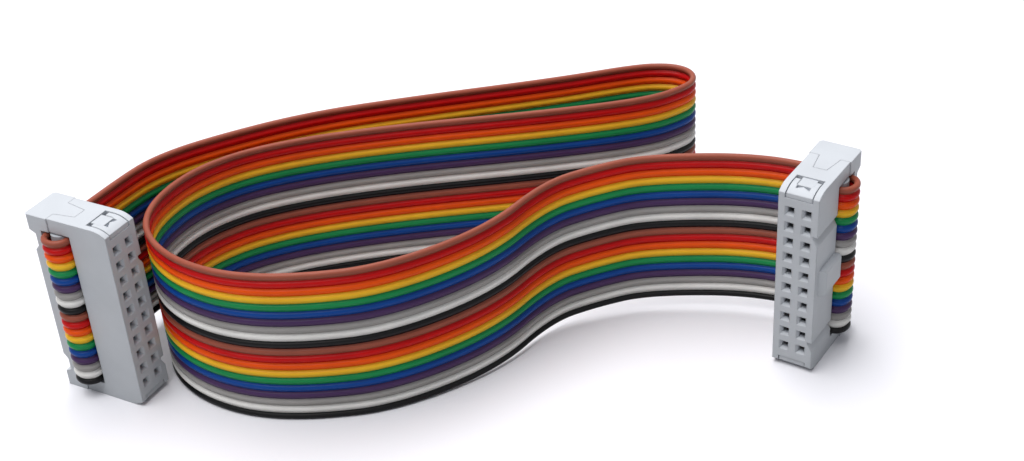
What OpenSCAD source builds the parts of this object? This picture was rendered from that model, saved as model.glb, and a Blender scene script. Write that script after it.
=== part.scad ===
// A twenty-way ribbon cable standing on its edge, with a 2 x 10 socket pressed onto each end.
// The cable leaves each socket between its cover and its strain relief and lies in loose loops.
// Millimetres. Z is up, X runs from the left socket to the right one, and the sockets stand on Z = 0.

/* [Cable] */
// Spacing of the conductors
pitch = 1.27; // [1.27:0.01:1.35]
// Diameter of one conductor over its insulation
conductor_d = 0.95; // [0.85:0.01:1]
// Thickness of the web that joins two conductors
web_t = 0.34; // [0.2:0.01:0.5]
// Diameter of the copper core
core_d = 0.38; // [0.3:0.01:0.4]

/* [Socket] */
// Thickness of the socket, across its two rows
body_t = 6; // [5.8:0.1:7]
// Depth of the housing in front of the cable
housing_d = 6.8; // [6.6:0.1:8]
// Depth of the cover that the cable is folded round
cover_d = 3.1; // [2.8:0.1:4]
// Depth of the strain relief behind the cable
relief_d = 2.5; // [2:0.1:4]
// Thickness of the housing's two end arms
arm_h = 2.2; // [2.2:0.1:3]
// How far the key stands out of the housing
key_out = 1; // [0.6:0.1:1.5]
// Width of the key
key_w = 4.2; // [3:0.1:5]
// Radius of the curve that brings each end face down to the mating face
end_curve_r = 4; // [3.4:0.1:6]

/* [Layout] */
// Distance between the sockets, along X
socket_span = 93.2; // [92:0.1:96]
// How far the right socket is turned from facing the front
right_turn = 35; // [33:0.5:36]
// How far the left socket is turned from facing the front
left_turn = 60; // [59:0.5:62]

/* [Contacts] */
// Width of the square hole for a pin
pin_hole = 0.9; // [0.8:0.01:1]
// Width of the lead-in around each pin hole
funnel_w = 1.5; // [1.2:0.05:1.8]
// Depth of the lead-in
funnel_d = 0.45; // [0.3:0.05:0.6]
// Width of the chamber that holds a contact
chamber_w = 1.5; // [1.4:0.05:1.7]
// Thickness of the contact's sheet
sheet_t = 0.25; // [0.15:0.01:0.3]

/* [Hidden] */

// The colour code, from the top of the cable down, used twice
COLOURS = [[0.6, 0.36, 0.26], [0.75, 0.08, 0.09], [0.94, 0.43, 0.1], [0.93, 0.75, 0.2],
    [0.05, 0.5, 0.28], [0.06, 0.25, 0.6], [0.33, 0.25, 0.45], [0.65, 0.62, 0.6],
    [0.87, 0.86, 0.82], [0.13, 0.13, 0.15]];
PLASTIC = [0.7, 0.72, 0.75];
COPPER = [0.8, 0.45, 0.25];
TIN = [0.78, 0.76, 0.7];

conductors = 20;
holes_in_row = conductors / 2;
hole_pitch = 2 * pitch;
row_x = pitch;
past = 0.1; // how far a cutter reaches past the face that it starts from

// Clearances
bond_gap = 0.01; // between one conductor's web and the next one's
core_gap = 0.01; // around a core, and between a core and the tines that grip it
cable_gap = 0.025; // between the cable and the faces that clamp it
edge_gap = 0.26; // between the cable's edge and an end arm
seat_gap = 0.02; // between faces that rest on each other
slide_gap = 0.05; // around what slides into the housing
floor_gap = 0.02; // under the cable where it reaches the surface

// Depths behind the mating face
slot_d = conductor_d + 2 * cable_gap;
cover_y = housing_d + slot_d;
cover_back = cover_y + cover_d;
relief_y = cover_back + slot_d;
socket_d = relief_y + relief_d;
arm_end = cover_back - 0.5;
leg_y = housing_d + slot_d / 2;
exit_y = cover_back + slot_d / 2;
cover_mid = cover_y + cover_d / 2;
fold_r = (cover_d + slot_d) / 2;
fold_out = 2; // how far the fold stands out of the socket's side
fold_x = body_t / 2 + fold_out - cover_d / 2 - slot_d;
nose_x = body_t / 2 - 1.2;
end_curve_d = 2.4; // how far the curve of the end faces reaches behind the mating face

// Heights
cable_w = (conductors - 1) * pitch + conductor_d;
body_l = cable_w + 2 * (edge_gap + arm_h);
mid_z = body_l / 2;
function conductor_z(j) = mid_z + ((conductors - 1) / 2 - j) * pitch;
function hole_z(i) = mid_z + ((holes_in_row - 1) / 2 - i) * hole_pitch;
drop = arm_h + edge_gap - floor_gap;

// Latches, measured from an end face inwards
tongue_t = 0.6;
latch_z = tongue_t + slide_gap;
latch_t = 0.8;
latch_end = latch_z + latch_t;
latch_w = 3.85;
window_w = latch_w + 0.3;
window_d = 4;
window_h = latch_end + slide_gap;
pad_y = 0.08;
pad_end = 3.2;
pad_z = 0.03;
neck_w = 2.3;
neck_z = 0.14;
tongue_tip_y = 6.9;
tongue_root_w = 3.2;
tongue_tip_w = 2;
tongue_gap = 0.03;

// The contact's fork and beams
tine_in = core_d / 2 + core_gap;
tine_w = 0.34;
tine_d = 1.6;
beam_out = chamber_w / 2 - 0.15;
chamber_y = 1;
chamber_end = housing_d - 1;
core_l = 4.5;

// Each socket: its place on the surface, its turn, and the side on which the cable folds back
middle_x = 1.6;
RIGHT = [[middle_x + socket_span / 2, -5.95], -right_turn, 1];
LEFT = [[middle_x - socket_span / 2, -2.35], left_turn, -1];
lead = [7, 11]; // straight run out of the right socket and out of the left one

// The cable's course between its two straight runs: X, Y and the share of the drop still to come.
// The points are the corners that the loops round off.
COURSE = [
    [29.5, 11.6, 0.9], [21.5, 10, 0.75], [14, 7.5, 0.5], [5.5, -2.2, 0.15], [-9, -9.6, 0], [-21, -10.5, 0],
    [-30, -9, 0], [-37.2, -4.9, 0], [-42, 0.8, 0], [-44, 7.2, 0], [-42.6, 14, 0], [-38, 21, 0],
    [-29, 26.3, 0], [-12, 29.6, 0], [16, 31.2, 0], [32, 33.2, 0], [38.2, 36.6, 0], [39.8, 38.7, 0],
    [40, 40.9, 0], [38.9, 43, 0], [36.3, 44.5, 0], [31.3, 44.9, 0], [18, 41.6, 0.1],
    [-4, 36.3, 0.6], [-22, 31.5, 0.95], [-37, 25, 1], [-44, 20.5, 1]];

// A point of a socket, x across it and y behind its mating face, on the surface
function placed(socket, x, y) =
    let (c = cos(socket[1]), s = sin(socket[1]))
    [socket[0].x + c * x - s * y, socket[0].y + s * x + c * y];

// The cable inside a socket, from its cut end round the cover to the end of the straight run
fold_corners = 5;
fold_step = 180 / fold_corners;
function fold_corner(k) =
    let (a = fold_step * (k + 0.5) - 90, r = fold_r / cos(fold_step / 2))
    [fold_x + r * cos(a), cover_mid + r * sin(a)];
function inside(socket, run) =
    let (
        side = socket[2],
        local = concat(
            [[-body_t / 2, leg_y]],
            [for (k = [0 : fold_corners - 1]) fold_corner(k)],
            [[-body_t / 2 - run, exit_y]]))
    [for (p = local) [each placed(socket, side * p.x, p.y), 1]];
function backwards(list) = [for (i = [len(list) - 1 : -1 : 0]) list[i]];

ROUTE = concat(inside(RIGHT, lead[0]), COURSE, backwards(inside(LEFT, lead[1])));
last = len(ROUTE) - 1;

// The sweep: each ring stands upright in the plane that halves its corner
function flat(p) = [p.x, p.y];
function run_dir(i) = let (v = flat(ROUTE[i + 1]) - flat(ROUTE[i])) v / norm(v);
function left_of(v) = [-v.y, v.x];
function mitre(i) =
    i == 0 ? left_of(run_dir(0)) :
    i == last ? left_of(run_dir(last - 1)) :
    let (a = left_of(run_dir(i - 1)), b = left_of(run_dir(i))) (a + b) / (1 + a * b);

// The section of one conductor: flats for its round sides, and half a web where it has a neighbour
web_h = pitch / 2 - bond_gap;
side_h = conductor_d * 0.22;
function section(j) =
    let (
        top = j == 0 ? conductor_d / 2 : web_h,
        base = j == conductors - 1 ? conductor_d / 2 : web_h,
        r = conductor_d / 2,
        w = web_t / 2)
    [[w, top], [-w, top], [-r, side_h], [-r, -side_h], [-w, -base], [w, -base], [r, -side_h], [r, side_h]];
sides = len(section(0));

module sweep(j) {
    z = conductor_z(j);
    points = [for (i = [0 : last]) for (s = section(j))
        let (p = flat(ROUTE[i]) + s.x * mitre(i)) [p.x, p.y, z - drop * (1 - ROUTE[i].z) + s.y]];
    start = [for (k = [0 : sides - 1]) k];
    walls = [for (i = [0 : last - 1]) for (k = [0 : sides - 1])
        let (next = (k + 1) % sides, a = i * sides, b = a + sides) [a + k, b + k, b + next, a + next]];
    finish = [for (k = [sides - 1 : -1 : 0]) last * sides + k];
    polyhedron(points, concat([start], walls, [finish]));
}

// Puts a shape drawn in a socket's own frame in its place
module at(socket) translate([socket[0].x, socket[0].y, 0]) rotate([0, 0, socket[1]]) children();

// Extrudes an outline of y and z across the socket, and one of x and z through it
module across(width) rotate([90, 0, 90]) linear_extrude(width, center = true) children();
module through(y0, y1) translate([0, y1, 0]) rotate([90, 0, 0]) linear_extrude(y1 - y0) children();
module block(w, y0, y1, z0, z1) translate([-w / 2, y0, z0]) cube([w, y1 - y0, z1 - z0]);
module both_ends() {
    children();
    translate([0, 0, body_l]) mirror([0, 0, 1]) children();
}

// Even places in the list of conductors are pressed onto the row on the key side
function row_side(j) = j % 2 == 0 ? 1 : -1;

module core_cutter(socket, z) {
    x = -socket[2] * body_t / 2;
    reach = core_l + past / 2;
    at(socket) translate([x, leg_y, z]) rotate([0, 90 * socket[2], 0]) translate([0, 0, -past])
        cylinder(d = core_d + 2 * core_gap, h = reach + past, $fn = 24);
}

module tine_cutters(socket, j) {
    w = sheet_t + 2 * core_gap;
    at(socket) translate([row_side(j) * row_x, 0, conductor_z(j)]) for (s = [-1, 1])
        translate([-w / 2, housing_d, s * (tine_in + tine_w / 2) - tine_w / 2 - core_gap])
            cube([w, slot_d, tine_w + 2 * core_gap]);
}

module conductor(j) {
    color(COLOURS[j % len(COLOURS)]) difference() {
        sweep(j);
        for (socket = [RIGHT, LEFT]) {
            core_cutter(socket, conductor_z(j));
            tine_cutters(socket, j);
        }
    }
}

// The bare copper in the cut ends, where the tines grip it
module copper_cores() {
    color(COPPER) for (socket = [RIGHT, LEFT]) at(socket) for (j = [0 : conductors - 1])
        translate([-socket[2] * body_t / 2, leg_y, conductor_z(j)]) rotate([0, 90 * socket[2], 0])
            cylinder(d = core_d, h = core_l, $fn = 24);
}

// What the curve takes off an end face, seen from the side, or off a latch that lies sunk under it
module end_curve(sunk) {
    drop_at_face = end_curve_r - sqrt(pow(end_curve_r, 2) - pow(end_curve_d, 2));
    difference() {
        translate([-past, -past]) square([past + end_curve_d, drop_at_face + sunk + 3 * past]);
        translate([end_curve_d, end_curve_r]) circle(end_curve_r - sunk, $fn = 96);
    }
}

module housing_outline() {
    difference() {
        square([arm_end, body_l]);
        translate([housing_d, arm_h]) square([socket_d, body_l - 2 * arm_h]);
    }
}

module key() {
    key_y = 1.2;
    slope = 0.6;
    bevel = 0.3;
    x = body_t / 2;
    intersection() {
        translate([0, 0, mid_z - key_w / 2]) linear_extrude(key_w) polygon([[x - past, key_y],
            [x, key_y], [x + key_out, key_y + slope], [x + key_out, housing_d], [x - past, housing_d]]);
        translate([0, 0, mid_z]) through(0, housing_d) polygon([[x - 2 * past, -key_w / 2],
            [x + key_out - bevel, -key_w / 2], [x + key_out, bevel - key_w / 2],
            [x + key_out, key_w / 2 - bevel], [x + key_out - bevel, key_w / 2],
            [x - 2 * past, key_w / 2]]);
    }
}

// The lead-ins of all the pin holes: a bevel across the rows meets a bevel along them
module funnels() {
    wide = funnel_w / 2;
    narrow = pin_hole / 2;
    intersection() {
        for (x = [-row_x, row_x]) translate([x, 0]) linear_extrude(body_l)
            polygon([[-wide, 0], [wide, 0], [narrow, funnel_d], [-narrow, funnel_d]]);
        across(body_t) for (i = [0 : holes_in_row - 1]) translate([0, hole_z(i)])
            polygon([[0, -wide], [0, wide], [funnel_d, narrow], [funnel_d, -narrow]]);
    }
}

// The outline of the slot behind one hole that holds its contact's shoulder
module shoulder_slot(side) {
    reach = pitch / 2 + tine_in + tine_w + slide_gap;
    heel = beam_out + slide_gap;
    depth = housing_d + past - chamber_end;
    translate([chamber_end, side > 0 ? -heel : -reach]) square([depth, reach + heel]);
}

module cavities() {
    for (side = [-1, 1]) translate([side * row_x, 0, 0]) {
        through(-past, chamber_y + past) for (i = [0 : holes_in_row - 1])
            translate([0, hole_z(i)]) square(pin_hole, center = true);
        through(chamber_y, chamber_end + past) for (i = [0 : holes_in_row - 1])
            translate([0, hole_z(i)]) square(chamber_w, center = true);
        across(sheet_t + 2 * slide_gap) for (i = [0 : holes_in_row - 1])
            translate([0, hole_z(i)]) shoulder_slot(side);
    }
}

module tongue_outline(gap) {
    root = arm_end + past;
    polygon([[-tongue_root_w / 2 - gap, root], [-tongue_root_w / 2 - gap, arm_end],
        [-tongue_tip_w / 2 - gap, tongue_tip_y - gap], [tongue_tip_w / 2 + gap, tongue_tip_y - gap],
        [tongue_root_w / 2 + gap, arm_end], [tongue_root_w / 2 + gap, root]]);
}

// The curve of an end face, and the rooms in it for a latch of the cover and a tongue of the strain relief
module end_cutters() {
    room_w = latch_w + 2 * slide_gap;
    across(body_t + past) end_curve(0);
    block(window_w, -past, window_d, -past, window_h);
    block(room_w, window_d - past, arm_end + past, latch_z - slide_gap, window_h);
    block(room_w, housing_d, arm_end + past, window_h - past, arm_h + past);
    translate([0, 0, -past]) linear_extrude(past + latch_z) tongue_outline(tongue_gap);
}

// The two grooves that run back along the key side, each with a flat top and a sloping base
module side_grooves() {
    groove_z = [7.5, -10.5];
    half = 0.8;
    deep = 0.7;
    flat_h = 0.35;
    for (z = groove_z) translate([body_t / 2, 0, mid_z + z]) through(-past, arm_end + past)
        polygon([[past, half], [-deep, half], [-deep, half - flat_h], [0, -half], [past, -half]]);
}

module housing() {
    color(PLASTIC) difference() {
        union() {
            across(body_t) housing_outline();
            key();
        }
        funnels();
        cavities();
        both_ends() end_cutters();
        side_grooves();
    }
}

// The bar that presses the cable onto the contacts, with the round nose that the cable folds over
module cover_bar(side) {
    end_gap = arm_h + edge_gap;
    translate([0, 0, end_gap]) linear_extrude(body_l - 2 * end_gap) mirror([side > 0 ? 0 : 1, 0])
        union() {
            translate([-body_t / 2, cover_y]) square([body_t / 2 + nose_x, cover_d]);
            translate([nose_x, cover_mid]) circle(d = cover_d, $fn = 48);
        }
}

// The two grooves in the cover's bar that take the tips of the forks
module tip_grooves() {
    tip_room = housing_d + tine_d + 2 * slide_gap;
    for (s = [-1, 1]) translate([s * row_x, 0, 0])
        block(sheet_t + 2 * slide_gap, cover_y - past, tip_room, arm_h, body_l - arm_h);
}

// A latch seen from its end: a pad in the window, a lower neck, an arm and its root in the cover
module latch() {
    slit_y = 1.4;
    slit_w = 2;
    slit_h = 0.35;
    slit_z = 0.7;
    neck_y = slit_y + slit_h;
    difference() {
        block(latch_w, pad_y, pad_end, pad_z, latch_end);
        across(latch_w + past) end_curve(pad_z);
        block(neck_w, neck_y, pad_end + past, 0, neck_z);
        translate([0, slit_y, 0]) linear_extrude(slit_z)
            polygon([[-slit_w / 2, -slit_h], [0, slit_h / 3], [slit_w / 2, -slit_h],
                [slit_w / 2, slit_h], [-slit_w / 2, slit_h]]);
    }
    block(neck_w, pad_end - past, window_d - slide_gap, neck_z, latch_end);
    block(neck_w, window_d - past, window_d + 2 * past, latch_z, latch_end);
    block(latch_w, window_d + past, arm_end - slide_gap, latch_z, latch_end);
    block(latch_w, cover_y + slide_gap, arm_end - slide_gap, latch_z, arm_h + edge_gap + past);
}

module cover(side) {
    color(PLASTIC) difference() {
        union() {
            cover_bar(side);
            both_ends() latch();
        }
        tip_grooves();
    }
}

// Two feet and the bar between them, which stands in a little and has a waist near each foot
module relief_outline() {
    foot_h = 2.2;
    waist_end = 5.8;
    slope = 0.8;
    waist_y = relief_y + 1.1;
    bar_back = socket_d - 0.7;
    lower = [[socket_d + past, foot_h], [waist_y, foot_h + slope], [waist_y, waist_end - slope],
        [bar_back, waist_end]];
    upper = [for (p = backwards(lower)) [p.x, body_l - p.y]];
    difference() {
        translate([arm_end + seat_gap, 0]) square([socket_d - arm_end - seat_gap, body_l]);
        translate([arm_end, arm_h]) square([relief_y - arm_end, body_l - 2 * arm_h]);
        polygon(concat(lower, upper));
    }
}

module strain_relief() {
    proud = 0.15;
    bevel = 0.35;
    half = body_t / 2 + proud;
    color(PLASTIC) union() {
        intersection() {
            across(2 * half) relief_outline();
            linear_extrude(body_l) polygon([[-half, arm_end], [half, arm_end], [half, socket_d - bevel],
                [half - bevel, socket_d], [bevel - half, socket_d], [-half, socket_d - bevel]]);
        }
        both_ends() linear_extrude(tongue_t) tongue_outline(0);
    }
}

// One contact as its sheet is cut: two beams for the pin, a shoulder, and the fork for the conductor
module contact_outline(side) {
    out = beam_out;
    in = beam_out - 0.25;
    pinch = 0.3;
    front = chamber_y + past;
    pinch_y = front + 0.7;
    spine_y = chamber_end - 1.4;
    shoulder_y = chamber_end + seat_gap;
    tip = housing_d + tine_d;
    tip_side = tip - 0.3;
    fork = pitch / 2;
    near = tine_in;
    middle = tine_in + tine_w / 2;
    far = tine_in + tine_w;
    mirror([0, side > 0 ? 0 : 1]) polygon([[front, -out], [housing_d, -out], [housing_d, fork - far],
        [tip_side, fork - far], [tip, fork - middle], [tip_side, fork - near], [housing_d, fork - near],
        [housing_d, fork + near], [tip_side, fork + near], [tip, fork + middle], [tip_side, fork + far],
        [shoulder_y, fork + far], [shoulder_y, out], [front, out], [pinch_y, pinch],
        [spine_y, in], [spine_y, -in], [pinch_y, -pinch]]);
}

module contacts(side) {
    color(TIN) translate([side * row_x, 0, 0]) across(sheet_t) for (i = [0 : holes_in_row - 1])
        translate([0, hole_z(i)]) contact_outline(side);
}

module right_housing() at(RIGHT) housing();
module right_cover() at(RIGHT) cover(RIGHT[2]);
module right_strain_relief() at(RIGHT) strain_relief();
module right_contacts_odd() at(RIGHT) contacts(1);
module right_contacts_even() at(RIGHT) contacts(-1);
module left_housing() at(LEFT) housing();
module left_cover() at(LEFT) cover(LEFT[2]);
module left_strain_relief() at(LEFT) strain_relief();
module left_contacts_odd() at(LEFT) contacts(1);
module left_contacts_even() at(LEFT) contacts(-1);

for (j = [0 : conductors - 1]) conductor(j);
copper_cores();
right_housing();
right_cover();
right_strain_relief();
right_contacts_odd();
right_contacts_even();
left_housing();
left_cover();
left_strain_relief();
left_contacts_odd();
left_contacts_even();
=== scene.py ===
# A twenty-way ribbon cable with a 2 x 10 socket on each end, on a pale surface in soft light.
# Metres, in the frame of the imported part: X from the left socket to the right one, Z up.
import math
from collections import namedtuple

import bpy
from mathutils import Matrix, Vector


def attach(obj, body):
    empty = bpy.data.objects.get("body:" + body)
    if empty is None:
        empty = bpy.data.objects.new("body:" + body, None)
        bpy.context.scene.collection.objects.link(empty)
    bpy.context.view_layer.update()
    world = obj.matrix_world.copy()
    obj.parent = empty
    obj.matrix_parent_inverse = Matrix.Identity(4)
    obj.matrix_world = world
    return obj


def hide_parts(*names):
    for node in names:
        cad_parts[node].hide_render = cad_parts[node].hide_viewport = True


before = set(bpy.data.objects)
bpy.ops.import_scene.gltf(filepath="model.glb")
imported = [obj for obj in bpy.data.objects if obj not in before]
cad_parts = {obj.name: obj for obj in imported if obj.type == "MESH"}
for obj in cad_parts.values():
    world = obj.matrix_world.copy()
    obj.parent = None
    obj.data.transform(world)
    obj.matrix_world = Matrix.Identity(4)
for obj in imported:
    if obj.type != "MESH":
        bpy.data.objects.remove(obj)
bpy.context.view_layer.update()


# The photo's camera, worked out from the sockets' grids of holes
IMAGE_W = 1024
FOCAL_PX = 1578.4
SENSOR_MM = 36
CAMERA_AT = Vector((0.00898, -0.1877, 0.14301))
CAMERA_DOWN = math.radians(32.58)
CAMERA_ROLL = math.radians(-3.874)
CAMERA_NEAR = 0.01

# The cable: round conductors with webs between them. A little room is left between one
# conductor's web and the next one's, and between the cable and the surface.
PITCH = 0.00127
CONDUCTORS = 20
CONDUCTOR_D = 0.00095
WEB_T = 0.00034
BOND_GAP = 0.00001
FLOOR_GAP = 0.00002

# The holes in the cut ends, which show the copper
CORE_HOLE_D = 0.0004
CORE_HOLE_DEPTH = 0.0003

# The sockets: their thickness and length, and how far behind the mating face the cable's middle
# lies before and after it folds round the cover. The fold's centre is set in from the side.
BODY_T = 0.006
BODY_L = 0.03
LEG_Y = 0.0073
EXIT_Y = 0.0114
FOLD_INSET = 0.00055
FOLD_X = BODY_T / 2 - FOLD_INSET
FOLD_CORNERS = 5

# Each socket's place and turn on the surface, the side on which the cable folds back,
# and the straight run of the cable out of the socket
Socket = namedtuple("Socket", "place turn side run")
RIGHT = Socket(place=(0.0482, -0.00595), turn=math.radians(-35), side=1, run=0.007)
LEFT = Socket(place=(-0.045, -0.00235), turn=math.radians(60), side=-1, run=0.011)

# The cable's course between its two straight runs, as in the part:
# X, Y and the share of its drop that is still to come
COURSE = [
    (0.0295, 0.0116, 0.9), (0.0215, 0.01, 0.75), (0.014, 0.0075, 0.5), (0.0055, -0.0022, 0.15),
    (-0.009, -0.0096, 0), (-0.021, -0.0105, 0), (-0.03, -0.009, 0), (-0.0372, -0.0049, 0),
    (-0.042, 0.0008, 0), (-0.044, 0.0072, 0), (-0.0426, 0.014, 0), (-0.038, 0.021, 0),
    (-0.029, 0.0263, 0), (-0.012, 0.0296, 0), (0.016, 0.0312, 0), (0.032, 0.0332, 0),
    (0.0382, 0.0366, 0), (0.0398, 0.0387, 0), (0.04, 0.0409, 0), (0.0389, 0.043, 0),
    (0.0363, 0.0445, 0), (0.0313, 0.0449, 0), (0.018, 0.0416, 0.1), (-0.004, 0.0363, 0.6),
    (-0.022, 0.0315, 0.95), (-0.037, 0.025, 1), (-0.044, 0.0205, 1)]

# How finely the course and a conductor's round sides are drawn
STRAIGHT_STEP = 0.0015
BEND_STEP = 0.0012
BEND_TURN = math.radians(7)
ARC_PARTS = 10

# A free edge of the cable: a point beside its summit, as shares of half a web and of the radius
SUMMIT_OUT = 0.6
SUMMIT_UP = 0.985

# Colours as the eye sees them, from 0 to 255
INSULATION = {
    "brown": (157, 83, 65), "red": (206, 8, 12), "orange": (250, 88, 6), "yellow": (255, 195, 44),
    "green": (22, 142, 79), "blue": (4, 69, 152), "violet": (74, 48, 92), "grey": (163, 160, 158),
    "white": (242, 240, 237), "black": (8, 8, 11)}
SOCKET_GREY = (201, 205, 211)
TIN_COLOUR = (148, 144, 136)
COPPER_COLOUR = (214, 130, 84)

# The detail of every noise, and the stretch of it over which a tint goes from dark to light
NOISE_DETAIL = 3
TINT_FROM = 0.3
TINT_TO = 0.7

# The surface: half its width, its colour as seen and as it lights the object, and the distances
# from the origin between which it fades into the white surroundings
FLOOR_REACH = 1.5
FLOOR_SEEN = (0.96, 0.955, 1, 1)
FLOOR_BOUNCED = (0.5, 0.5, 0.5, 1)
FADE_FROM = 0.14
FADE_TO = 0.4

# The light: one large lamp overhead and a weak fill from all round
LAMP_AT = Vector((-0.12, 0.07, 0.7))
LAMP_AIM = Vector((0, 0.02, 0))
LAMP_W = 1.1
LAMP_D = 0.5
LAMP_POWER = 7.7
FILL = 0.25
FILL_COLOUR = (0.93, 0.95, 1, 1)


def linear(colour):
    """A seen colour as the shader's own numbers."""
    parts = [c / 255 for c in colour]
    return [c / 12.92 if c <= 0.04045 else ((c + 0.055) / 1.055) ** 2.4 for c in parts] + [1]


def add_object(name, data):
    """Puts an object with that data into the scene."""
    item = bpy.data.objects.new(name, data)
    bpy.context.collection.objects.link(item)
    return item


# Camera
def make_camera():
    ahead = Vector((0, math.cos(CAMERA_DOWN), -math.sin(CAMERA_DOWN)))
    above = Vector((0, math.sin(CAMERA_DOWN), math.cos(CAMERA_DOWN)))
    across = Vector((1, 0, 0))
    side = math.cos(CAMERA_ROLL) * across + math.sin(CAMERA_ROLL) * above
    top = math.cos(CAMERA_ROLL) * above - math.sin(CAMERA_ROLL) * across
    turn = Matrix((side, top, -ahead)).transposed().to_4x4()
    data = bpy.data.cameras.new("camera")
    data.sensor_width = SENSOR_MM
    data.lens = SENSOR_MM * FOCAL_PX / IMAGE_W
    data.clip_start = CAMERA_NEAR
    camera = add_object("camera", data)
    camera.matrix_world = Matrix.Translation(CAMERA_AT) @ turn
    bpy.context.scene.camera = camera


# Materials
def new_material(name):
    material = bpy.data.materials.new(name)
    material.use_nodes = True
    tree = material.node_tree
    return material, tree, tree.nodes["Principled BSDF"]


def noise(tree, scale):
    """A noise over the object's own metres."""
    place = tree.nodes.new("ShaderNodeTexCoord")
    texture = tree.nodes.new("ShaderNodeTexNoise")
    texture.inputs["Scale"].default_value = scale
    texture.inputs["Detail"].default_value = NOISE_DETAIL
    tree.links.new(place.outputs["Object"], texture.inputs["Vector"])
    return texture.outputs["Fac"]


def tint(tree, shader, colour, scale, spread):
    """Gives the shader its colour, a little darker and lighter from place to place."""
    ramp = tree.nodes.new("ShaderNodeValToRGB")
    dark, light = ramp.color_ramp.elements
    base = linear(colour)[:3]
    dark.position = TINT_FROM
    dark.color = [c * (1 - spread) for c in base] + [1]
    light.position = TINT_TO
    light.color = [min(1, c * (1 + spread)) for c in base] + [1]
    tree.links.new(noise(tree, scale), ramp.inputs["Fac"])
    tree.links.new(ramp.outputs["Color"], shader.inputs["Base Color"])


def grain(tree, shader, scale, depth, edge=0):
    """Gives the shader a fine bump of that depth, over edges rounded by a small radius."""
    bump = tree.nodes.new("ShaderNodeBump")
    bump.inputs["Distance"].default_value = depth
    tree.links.new(noise(tree, scale), bump.inputs["Height"])
    if edge:
        bevel = tree.nodes.new("ShaderNodeBevel")
        bevel.inputs["Radius"].default_value = edge
        tree.links.new(bevel.outputs["Normal"], bump.inputs["Normal"])
    tree.links.new(bump.outputs["Normal"], shader.inputs["Normal"])


def vinyl(name, colour):
    material, tree, shader = new_material("vinyl_" + name)
    tint(tree, shader, colour, scale=160, spread=0.07)
    grain(tree, shader, scale=2600, depth=0.00001)
    shader.inputs["Roughness"].default_value = 0.36
    shader.inputs["Specular IOR Level"].default_value = 0.18
    return material


def moulded(name, colour):
    material, tree, shader = new_material(name)
    tint(tree, shader, colour, scale=240, spread=0.03)
    grain(tree, shader, scale=9000, depth=0.000008, edge=0.00024)
    shader.inputs["Roughness"].default_value = 0.5
    shader.inputs["Specular IOR Level"].default_value = 0.4
    return material


def metal(name, colour):
    material, tree, shader = new_material(name)
    tint(tree, shader, colour, scale=3000, spread=0.1)
    grain(tree, shader, scale=12000, depth=0.000004)
    shader.inputs["Metallic"].default_value = 1
    shader.inputs["Roughness"].default_value = 0.3
    return material


# The cable
def placed(socket, x, y):
    """A point of a socket, x across it and y behind its mating face."""
    ox, oy = socket.place
    c, s = math.cos(socket.turn), math.sin(socket.turn)
    return ox + c * x - s * y, oy + s * x + c * y


def inside(socket):
    """The cable's corners from its cut end round the cover to the end of its straight run."""
    middle = (LEG_Y + EXIT_Y) / 2
    step = math.pi / FOLD_CORNERS
    r = (EXIT_Y - LEG_Y) / 2 / math.cos(step / 2)
    bends = [step * (k + 0.5) - math.pi / 2 for k in range(FOLD_CORNERS)]
    local = [(-BODY_T / 2, LEG_Y)]
    local += [(FOLD_X + r * math.cos(a), middle + r * math.sin(a)) for a in bends]
    local += [(-BODY_T / 2 - socket.run, EXIT_Y)]
    return [(*placed(socket, socket.side * x, y), 1) for x, y in local]


def conductor_z(j):
    return BODY_L / 2 + ((CONDUCTORS - 1) / 2 - j) * PITCH


# How far the cable sinks from the sockets to the surface
DROP = conductor_z(CONDUCTORS - 1) - CONDUCTOR_D / 2 - FLOOR_GAP


def rounded(route):
    """The smooth line that touches each run of the route at its middle: (point, heading) pairs."""
    points = [Vector((x, y, -DROP * (1 - high))) for x, y, high in route]
    middles = [(a + b) / 2 for a, b in zip(points, points[1:])]
    line = []

    def straight(a, b, last):
        """Adds the points from a towards b, with b itself where last is 1."""
        count = max(1, math.ceil((b - a).length / STRAIGHT_STEP))
        line.extend((a.lerp(b, k / count), b - a) for k in range(count + last))

    straight(points[0], middles[0], 0)
    for a, v, b in zip(middles, points[1:], middles[1:]):
        bend = (v - a).angle(b - v)
        count = max(2, math.ceil(bend / BEND_TURN), math.ceil((b - a).length / BEND_STEP))
        for k in range(count):
            t = k / count
            place = (1 - t) ** 2 * a + 2 * t * (1 - t) * v + t * t * b
            line.append((place, (1 - t) * (v - a) + t * (b - v)))
    straight(middles[-1], points[-1], 1)
    return line


def section(first, last):
    """One conductor's outline, (sideways, up): round, with half a web towards each neighbour."""
    r, w = CONDUCTOR_D / 2, WEB_T / 2
    reach = PITCH / 2 - BOND_GAP
    lean = math.asin(w / r)
    arc = [lean + (math.pi - 2 * lean) * k / ARC_PARTS for k in range(ARC_PARTS + 1)]
    top = [(0, r), (w * SUMMIT_OUT, r * SUMMIT_UP)] if first else [(0, reach), (w, reach)]
    base = [(w * SUMMIT_OUT, -r * SUMMIT_UP), (0, -r)] if last else [(w, -reach), (0, -reach)]
    half = top + [(r * math.sin(a), r * math.cos(a)) for a in arc] + base
    return half + [(-x, z) for x, z in half[-2:0:-1]]


def ring(outline, place, heading, z):
    """The outline's points, set square to the heading."""
    left = Vector((-heading.y, heading.x, 0)).normalized()
    return [place + left * x + Vector((0, 0, z + up)) for x, up in outline]


def band(a, b, sides):
    """The faces between two rings, whose points start at a and at b."""
    return [(a + k, a + (k + 1) % sides, b + (k + 1) % sides, b + k) for k in range(sides)]


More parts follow.
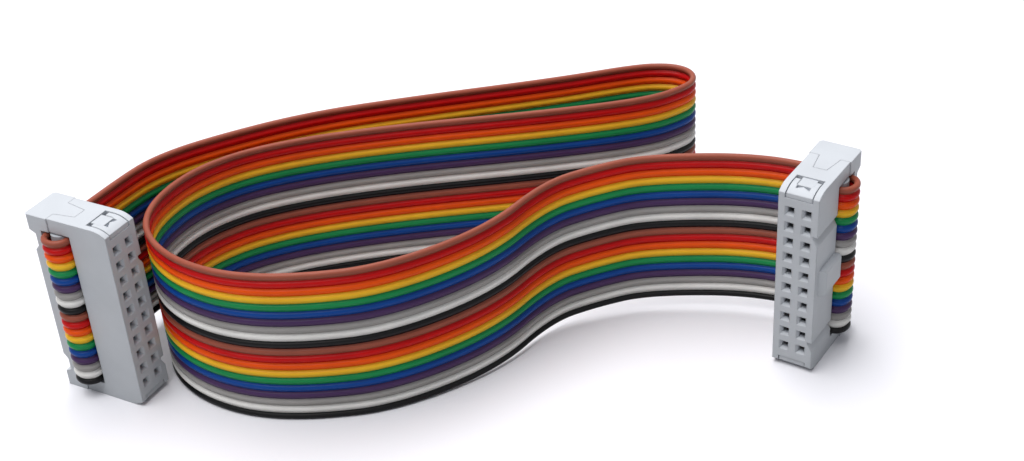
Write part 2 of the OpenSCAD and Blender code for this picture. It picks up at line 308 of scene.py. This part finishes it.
def make_conductor(j, name, line, material):
    """One conductor as a sweep along the line, with both ends closed round a hole for the copper."""
    outline = section(j == 0, j == CONDUCTORS - 1)
    hole = [Vector(point).normalized() * CORE_HOLE_D / 2 for point in outline]
    sides = len(outline)
    z = conductor_z(j)
    verts = [point for place, heading in line for point in ring(outline, place, heading, z)]
    faces = [face for i in range(len(line) - 1) for face in band(i * sides, (i + 1) * sides, sides)]
    walls = len(faces)
    for end, sign in ((0, 1), (len(line) - 1, -1)):
        place, heading = line[end]
        rim = len(verts)
        bottom = rim + sides
        verts += ring(hole, place, heading, z)
        verts += ring(hole, place + heading.normalized() * sign * CORE_HOLE_DEPTH, heading, z)
        closing = band(end * sides, rim, sides) + band(rim, bottom, sides)
        closing.append(tuple(range(bottom, bottom + sides)))
        faces += [face[::sign] for face in closing]
    mesh = bpy.data.meshes.new(name)
    mesh.from_pydata([tuple(v) for v in verts], [], faces)
    mesh.polygons.foreach_set("use_smooth", [f < walls for f in range(len(faces))])
    mesh.materials.append(material)
    mesh.update()
    return add_object(name, mesh)


def make_cable():
    """The cable from cut end to cut end: each conductor is a cord bonded to the next one."""
    line = rounded(inside(RIGHT) + COURSE + inside(LEFT)[::-1])
    names = list(INSULATION)
    vinyls = [vinyl(n, INSULATION[n]) for n in names]
    for j in range(CONDUCTORS):
        colour = names[j % len(names)]
        label = f"{j + 1:02d}_{colour}"
        piece = make_conductor(j, "insulation_" + label, line, vinyls[j % len(names)])
        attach(piece, "root")
        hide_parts("conductor_" + label)


# The sockets
def dress(nodes, material):
    """Gives CAD nodes a material."""
    for name in nodes:
        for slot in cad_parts[name].material_slots:
            slot.material = material


def make_sockets():
    plastic = moulded("socket_plastic", SOCKET_GREY)
    tin = metal("tin", TIN_COLOUR)
    for side in ("right", "left"):
        dress([side + part for part in ("_housing", "_cover", "_strain_relief")], plastic)
        dress([side + row for row in ("_contacts_odd", "_contacts_even")], tin)
    dress(["copper_cores"], metal("copper", COPPER_COLOUR))


# The surface and the light
def math_node(tree, operation, a, b):
    """The output of a math node on two outputs."""
    node = tree.nodes.new("ShaderNodeMath")
    node.operation = operation
    tree.links.new(a, node.inputs[0])
    tree.links.new(b, node.inputs[1])
    return node.outputs["Value"]


def mix_shaders(tree, factor, first, second, target):
    """Shows the first shader where the factor is 0, and the second where it is 1."""
    mix = tree.nodes.new("ShaderNodeMixShader")
    tree.links.new(factor, mix.inputs["Fac"])
    tree.links.new(first, mix.inputs[1])
    tree.links.new(second, mix.inputs[2])
    tree.links.new(mix.outputs["Shader"], target)


def seen_directly(tree):
    """1 on the rays that show the surroundings: those of the camera, of gloss and of glass."""
    path = tree.nodes.new("ShaderNodeLightPath").outputs
    mirrored = math_node(tree, "MAXIMUM", path["Is Glossy Ray"], path["Is Transmission Ray"])
    return math_node(tree, "MAXIMUM", path["Is Camera Ray"], mirrored)


def far_away(tree):
    """0 around the object, rising to 1 where the surface runs into the white surroundings."""
    place = tree.nodes.new("ShaderNodeNewGeometry")
    distance = tree.nodes.new("ShaderNodeVectorMath")
    distance.operation = "LENGTH"
    fade = tree.nodes.new("ShaderNodeMapRange")
    fade.interpolation_type = "SMOOTHSTEP"
    fade.inputs["From Min"].default_value = FADE_FROM
    fade.inputs["From Max"].default_value = FADE_TO
    tree.links.new(place.outputs["Position"], distance.inputs[0])
    tree.links.new(distance.outputs["Value"], fade.inputs["Value"])
    return fade.outputs["Result"]


def floor_material():
    """White, and lighter to the rays that show it than to those that light the object."""
    material, tree, shader = new_material("surface")
    direct = seen_directly(tree)
    mix = tree.nodes.new("ShaderNodeMix")
    mix.data_type = "RGBA"
    mix.inputs["A"].default_value = FLOOR_BOUNCED
    mix.inputs["B"].default_value = FLOOR_SEEN
    tree.links.new(direct, mix.inputs["Factor"])
    tree.links.new(mix.outputs["Result"], shader.inputs["Base Color"])
    shader.inputs["Roughness"].default_value = 1
    shader.inputs["Specular IOR Level"].default_value = 0
    white = tree.nodes.new("ShaderNodeEmission")
    share = math_node(tree, "MULTIPLY", direct, far_away(tree))
    target = tree.nodes["Material Output"].inputs["Surface"]
    mix_shaders(tree, share, shader.outputs["BSDF"], white.outputs["Emission"], target)
    return material


def make_floor():
    mesh = bpy.data.meshes.new("surface")
    r = FLOOR_REACH
    mesh.from_pydata([(-r, -r, 0), (r, -r, 0), (r, r, 0), (-r, r, 0)], [], [(0, 1, 2, 3)])
    mesh.materials.append(floor_material())
    add_object("surface", mesh)


def make_world():
    """A weak fill for the object, behind white surroundings."""
    world = bpy.data.worlds.new("world")
    world.use_nodes = True
    tree = world.node_tree
    plain = tree.nodes["Background"]
    plain.inputs["Color"].default_value = FILL_COLOUR
    plain.inputs["Strength"].default_value = FILL
    white = tree.nodes.new("ShaderNodeBackground")
    white.inputs["Strength"].default_value = 1
    target = tree.nodes["World Output"].inputs["Surface"]
    mix_shaders(tree, seen_directly(tree), plain.outputs[0], white.outputs[0], target)
    bpy.context.scene.world = world


def make_lamp():
    data = bpy.data.lights.new("overhead", "AREA")
    data.shape = "RECTANGLE"
    data.size = LAMP_W
    data.size_y = LAMP_D
    data.energy = LAMP_POWER
    lamp = add_object("overhead", data)
    lamp.location = LAMP_AT
    lamp.rotation_euler = (LAMP_AIM - LAMP_AT).to_track_quat("-Z", "Y").to_euler()


make_camera()
make_cable()
make_sockets()
make_floor()
make_world()
make_lamp()
bpy.context.scene.view_settings.view_transform = "Standard"
